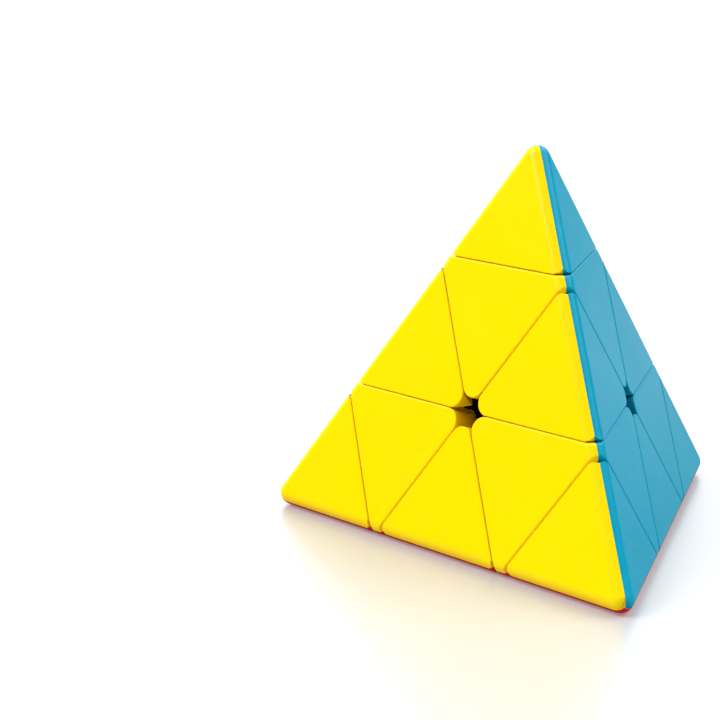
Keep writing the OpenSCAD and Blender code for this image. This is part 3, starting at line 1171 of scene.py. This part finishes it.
@dataclass(frozen=True)
class FloorFinish:
    """Satin white table, lit a little from below; glossy rays see a painted reflection in place of
    its own tone.

    Attributes:
        tone: Main tone.
        other: Second tone that it drifts to.
        glow: Light that the table gives off.
        spot: Brightness of the painted bright spot at its brightest, as the caps mirror it.
        shade_end: Distance from the puzzle where the painted shade ends in that mirror image.
        spot_end: Distance where the painted bright spot has faded again.
        faded: Share of the painted brightness that is left there.
    """

    tone: Colour
    other: Colour
    glow: float = 0.24
    spot: float = 0.4
    shade_end: float = 0.4
    spot_end: float = 1.0
    faded: float = 0.35

    def material(self) -> bpy.types.Material:
        """Builds the material."""
        material, tree, shader = fresh_material("floor")
        place = tree.add("TexCoord").outputs["Object"]
        tone = ToneDrift().use(tree, Vector=place, Tone=rgba(self.tone),
                               Other_Tone=rgba(self.other), Scale=6.0)
        # Painted reflection: glossy rays see a grey set by the distance from the centre, not the
        # table's own tone. It is painted shade near the puzzle, then a painted bright spot further
        # out that fades again far away.
        reach = tree.add("VectorMath", operation="LENGTH")
        tree.feed(reach.inputs[0], place)
        near = tree.span(reach.outputs["Value"], 0.05, self.shade_end, 0.0, self.spot)
        far = tree.span(reach.outputs["Value"], self.shade_end, self.spot_end, 1.0, self.faded)
        level = tree.math("MULTIPLY", near, far)
        mirrored = tree.add("CombineColor", Red=level, Green=level, Blue=level)
        glossy = tree.add("LightPath").outputs["Is Glossy Ray"]
        tree.feed(shader.inputs["Base Color"],
                  tree.mix(glossy, tone.outputs["Color"], mirrored.outputs["Color"]))
        shader.inputs["Emission Color"].default_value = (0.97, 0.98, 1.0, 1)
        tree.feed(shader.inputs["Emission Strength"], tree.span(glossy, 0, 1, self.glow, 0))
        shader.inputs["Roughness"].default_value = 0.42
        shader.inputs["Specular IOR Level"].default_value = 1.0
        shader.inputs["Coat Weight"].default_value = 1.0
        shader.inputs["Coat Roughness"].default_value = 0.3
        return material


CAP_FINISHES = {
    Side.YELLOW: CapFinish("yellow_cap_plastic", (0.95, 0.66, 0.0), (0.94, 0.64, 0.0),
                           (0.97, 0.7, 0.01)),
    Side.BLUE: CapFinish("blue_cap_plastic", (0.0, 0.315, 0.465), (0.0, 0.3, 0.45),
                         (0.02, 0.38, 0.55), specular=0.06),
    Side.RED: CapFinish("red_cap_plastic", (0.72, 0.012, 0.02), (0.70, 0.011, 0.018),
                        (0.78, 0.05, 0.05)),
    Side.GREEN: CapFinish("green_cap_plastic", (0.0, 0.34, 0.07), (0.0, 0.332, 0.067),
                          (0.03, 0.4, 0.1)),
}
CORE_FINISH = BlackFinish("core_plastic", (0.02, 0.021, 0.023), (0.035, 0.034, 0.032), 0.45)
HUB_FINISH = BlackFinish("hub_plastic", (0.016, 0.017, 0.019), (0.03, 0.029, 0.027), 0.5)
SCREW_FINISH = SteelFinish("screw_steel", (0.62, 0.62, 0.64), (0.5, 0.49, 0.45), 0.22, 4000.0)
SPRING_FINISH = SteelFinish("spring_steel", (0.55, 0.56, 0.58), (0.42, 0.42, 0.43), 0.28, 9000.0)
FLOOR_FINISH = FloorFinish((0.31, 0.315, 0.325), (0.32, 0.325, 0.33))


# ---------------------------------------------------------------- the puzzle


@dataclass
class CapSet:
    """All the coloured caps of one kind, made from one model.

    Attributes:
        model: The cap's model.
        finishes: Material of each side.
        smooth_angle: Faces that meet at less than this angle are shaded as one.
        rim_area: Largest area of the small faces along a softened seam, in square millimetres.
    """

    model: CapModel
    finishes: dict[Side, bpy.types.Material]
    smooth_angle: float = math.radians(28)
    rim_area: float = 1.2

    def mark_rims(self, mesh: bpy.types.Mesh) -> None:
        """Stores how near each point lies to a softened seam.

        Args:
            mesh: The cap's mesh, in millimetres, at its home place.
        """
        bm = bmesh.new()
        bm.from_mesh(mesh)
        layer = bm.verts.layers.float.new("rim")
        for vert in bm.verts:
            small = [f for f in vert.link_faces
                     if f.calc_area() < self.rim_area and len(f.verts) <= 4]
            vert[layer] = len(small) / max(1, len(vert.link_faces))
        bm.to_mesh(mesh)
        bm.free()

    def place(self, name: str, mesh: bpy.types.Mesh, matrix: Matrix, side: Side,
              body: str) -> bpy.types.Object:
        """Puts a copy of the cap in its place on the puzzle.

        Args:
            name: Name of the frame's cap that it stands for.
            mesh: The model's mesh.
            matrix: Turn from the home place to this one.
            side: The side that the cap faces.
            body: The body that it rides on.

        Returns:
            The new piece.
        """
        own = mesh.copy()
        own.name = name + "_skin"
        own.transform(Matrix.Scale(MM, 4) @ matrix)
        own.shade_smooth()
        own.set_sharp_from_angle(angle=self.smooth_angle)
        own.materials.append(self.finishes[side])
        piece = bpy.data.objects.new(name + "_skin", own)
        bpy.context.scene.collection.objects.link(piece)
        weighted = piece.modifiers.new("flat faces stay flat", "WEIGHTED_NORMAL")
        weighted.keep_sharp, weighted.weight = True, 80
        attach(piece, body)
        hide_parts(name)
        LOG.info("%s: %d faces, on %s", piece.name, len(own.polygons), body)
        return piece


@dataclass
class Puzzle:
    """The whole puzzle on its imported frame.

    Attributes:
        layout: The shared distances.
    """

    frame: dict
    layout: Layout

    def body_of(self, node: str) -> str:
        """Name of the body that carries a node of the frame."""
        return self.frame["nodes"][node]["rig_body"]

    def build_caps(self) -> None:
        """Models the three kinds of cap and places all thirty-six."""
        outer = RoundedPyramid(self.layout)
        finishes = {side: CAP_FINISHES[side].material() for side in Side}
        for kind, word in ((AxialCap, "axial"), (TipCap, "tip")):
            caps = CapSet(kind(self.layout, outer), finishes)
            mesh = caps.model.build()
            caps.mark_rims(mesh)
            for corner in CORNERS:
                for side in Side:
                    if side.value != corner.index:
                        name = f"{corner.word}_{word}_{side.word}_cap"
                        caps.place(name, mesh, self.layout.at_corner(corner, side), side,
                                   self.body_of(name))
        caps = CapSet(EdgeCap(self.layout, outer), finishes)
        mesh = caps.model.build()
        caps.mark_rims(mesh)
        back = caps.model.home.inverted()
        for first, second, *sides in EDGES:
            for side, turn in zip(sides, (0.0, math.pi)):
                name = f"{first.word}_{second.word}_edge_{side.word}_cap"
                matrix = (self.layout.edge_frame(first, second)
                          @ Matrix.Rotation(turn, 4, "Z") @ back)
                caps.place(name, mesh, matrix, side, self.body_of(name))

    def dress_inside(self) -> None:
        """Paints the frame's own black and steel parts."""
        finishes = {"core": CORE_FINISH, "axis_screws": SCREW_FINISH,
                    "axis_washers": SCREW_FINISH, "axis_springs": SPRING_FINISH}
        made: dict[str, bpy.types.Material] = {}
        for name, node in self.frame["nodes"].items():
            if node.hide_render:
                continue
            finish = finishes.get(name, HUB_FINISH)
            if finish.slot not in made:
                made[finish.slot] = finish.material()
            node.data.materials.clear()
            node.data.materials.append(made[finish.slot])
            LOG.info("%s: painted as %s", name, finish.slot)


# ---------------------------------------------------------------- stage


@dataclass(frozen=True)
class Lamp:
    """A broad distant light, which is as bright everywhere on the floor.

    Attributes:
        name: Name of the light.
        towards: Direction from the puzzle to the light.
        spread: Width of the light as an angle.
        power: Strength in watts per square metre.
        colour: Colour of the light.
    """

    name: str
    towards: tuple[float, float, float]
    spread: float
    power: float
    colour: Colour

    def hang(self) -> None:
        """Adds the light to the scene."""
        data = bpy.data.lights.new(self.name, "SUN")
        data.angle, data.energy, data.color = self.spread, self.power, self.colour
        lamp = bpy.data.objects.new(self.name, data)
        lamp.rotation_mode = "QUATERNION"
        lamp.rotation_quaternion = (-Vector(self.towards)).to_track_quat("-Z", "Y")
        bpy.context.scene.collection.objects.link(lamp)


@dataclass(frozen=True)
class RoomPatch:
    """A round part of the room that is brighter or darker than the rest.

    Attributes:
        towards: Direction from the puzzle to its middle.
        inner: Angle from the middle within which it has its full strength.
        outer: Angle at which it has faded out.
        amount: Brightness that it adds.
    """

    towards: tuple[float, float, float]
    inner: float
    outer: float
    amount: float


LAMPS = (
    Lamp("key", (-0.41, -0.49, 0.77), math.radians(40), 3.7, (1.0, 0.99, 0.97)),
    Lamp("fill", (0.35, 0.61, 0.71), math.radians(40), 2.6, (0.97, 0.99, 1.0)),
)
ROOM = (
    # The bright wall behind the floor, and the dark parts that the blue and yellow sides mirror
    RoomPatch((-0.62, 0.58, 0.6), math.radians(14), math.radians(50), 1.6),
    RoomPatch((-0.2, 0.97, 0.05), math.radians(8), math.radians(30), -0.34),
    RoomPatch((-0.66, -0.7, 0.25), math.radians(14), math.radians(40), -0.32),
)


@dataclass
class Studio:
    """Floor, lights and camera.

    Attributes:
        floor_z: Height of the floor.
        aim: Point that the camera looks at.
        azimuth: Compass angle of the camera, from -Y towards +X.
        elevation: Angle of the camera above the horizon.
        distance: Distance from the camera to the point it looks at.
        roll: Turn of the camera about its line of sight.
        lens: Focal length, in millimetres, on a sensor 36 mm wide.
        floor_r: Radius of the floor.
        floor_drop: Play between the puzzle and the floor.
        room_glow: Brightness of the room away from its patches.
    """

    floor_z: float
    aim: tuple[float, float, float] = (-0.0270, -0.0237, 0.0136)
    azimuth: float = math.radians(46.67)
    elevation: float = math.radians(14.03)
    distance: float = 0.42869
    roll: float = math.radians(-0.35)
    lens: float = 103.7
    floor_r: float = 6.0
    floor_drop: float = 0.0001
    room_glow: float = 0.36

    def camera(self) -> None:
        """Adds the camera."""
        data = bpy.data.cameras.new("camera")
        data.lens, data.sensor_width = self.lens, 36.0
        data.clip_start, data.clip_end = 0.01, 50.0
        camera = bpy.data.objects.new("camera", data)
        back = Vector((math.sin(self.azimuth) * math.cos(self.elevation),
                       -math.cos(self.azimuth) * math.cos(self.elevation),
                       math.sin(self.elevation)))
        turn = (-back).to_track_quat("-Z", "Y").to_matrix().to_4x4()
        camera.matrix_world = (Matrix.Translation(Vector(self.aim) + back * self.distance) @ turn
                               @ Matrix.Rotation(self.roll, 4, "Z"))
        bpy.context.scene.collection.objects.link(camera)
        bpy.context.scene.camera = camera

    def floor(self) -> None:
        """Adds a pale, faintly glossy floor that fades into the background."""
        bm = bmesh.new()
        matrix = Matrix.Translation((0, 0, self.floor_z - self.floor_drop))
        bmesh.ops.create_circle(bm, cap_ends=True, segments=96, radius=self.floor_r,
                                matrix=matrix)
        mesh = bpy.data.meshes.new("floor")
        bm.to_mesh(mesh)
        bm.free()
        mesh.materials.append(FLOOR_FINISH.material())
        floor = bpy.data.objects.new("floor", mesh)
        bpy.context.scene.collection.objects.link(floor)
        floor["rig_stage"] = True

    def world(self) -> None:
        """Fills the room: a bright wall behind, and dark places that the caps mirror."""
        world = bpy.data.worlds.new("studio")
        world.use_nodes = True
        tree = Tree(world.node_tree)
        way = tree.add("TexCoord").outputs["Generated"]
        glow: object = self.room_glow
        for patch in ROOM:
            turned = tree.add("VectorMath", operation="DOT_PRODUCT")
            tree.feed(turned.inputs[0], way)
            tree.feed(turned.inputs[1], Vector(patch.towards).normalized())
            glow = tree.math("ADD", glow, tree.span(
                turned.outputs["Value"], math.cos(patch.outer), math.cos(patch.inner), 0.0,
                patch.amount))
        background = world.node_tree.nodes["Background"]
        background.inputs["Color"].default_value = (0.96, 0.98, 1.0, 1)
        tree.feed(background.inputs["Strength"], tree.math("MAXIMUM", glow, 0.0))
        bpy.context.scene.world = world
        bpy.context.scene.view_settings.view_transform = "Standard"

    def build(self) -> None:
        """Adds everything round the puzzle."""
        self.camera()
        self.floor()
        self.world()
        for lamp in LAMPS:
            lamp.hang()
        LOG.info("studio: floor at %.4f m", self.floor_z)


def main() -> None:
    """Builds the puzzle and its studio in order."""
    logging.basicConfig(level=logging.INFO, format="%(name)s: %(message)s")
    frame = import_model()
    cad_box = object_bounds()
    base = cad_box[0].z
    puzzle = Puzzle(frame, Layout(side_d=-base / MM))
    Studio(floor_z=base).build()
    puzzle.build_caps()
    puzzle.dress_inside()


if __name__ == "__main__":
    main()
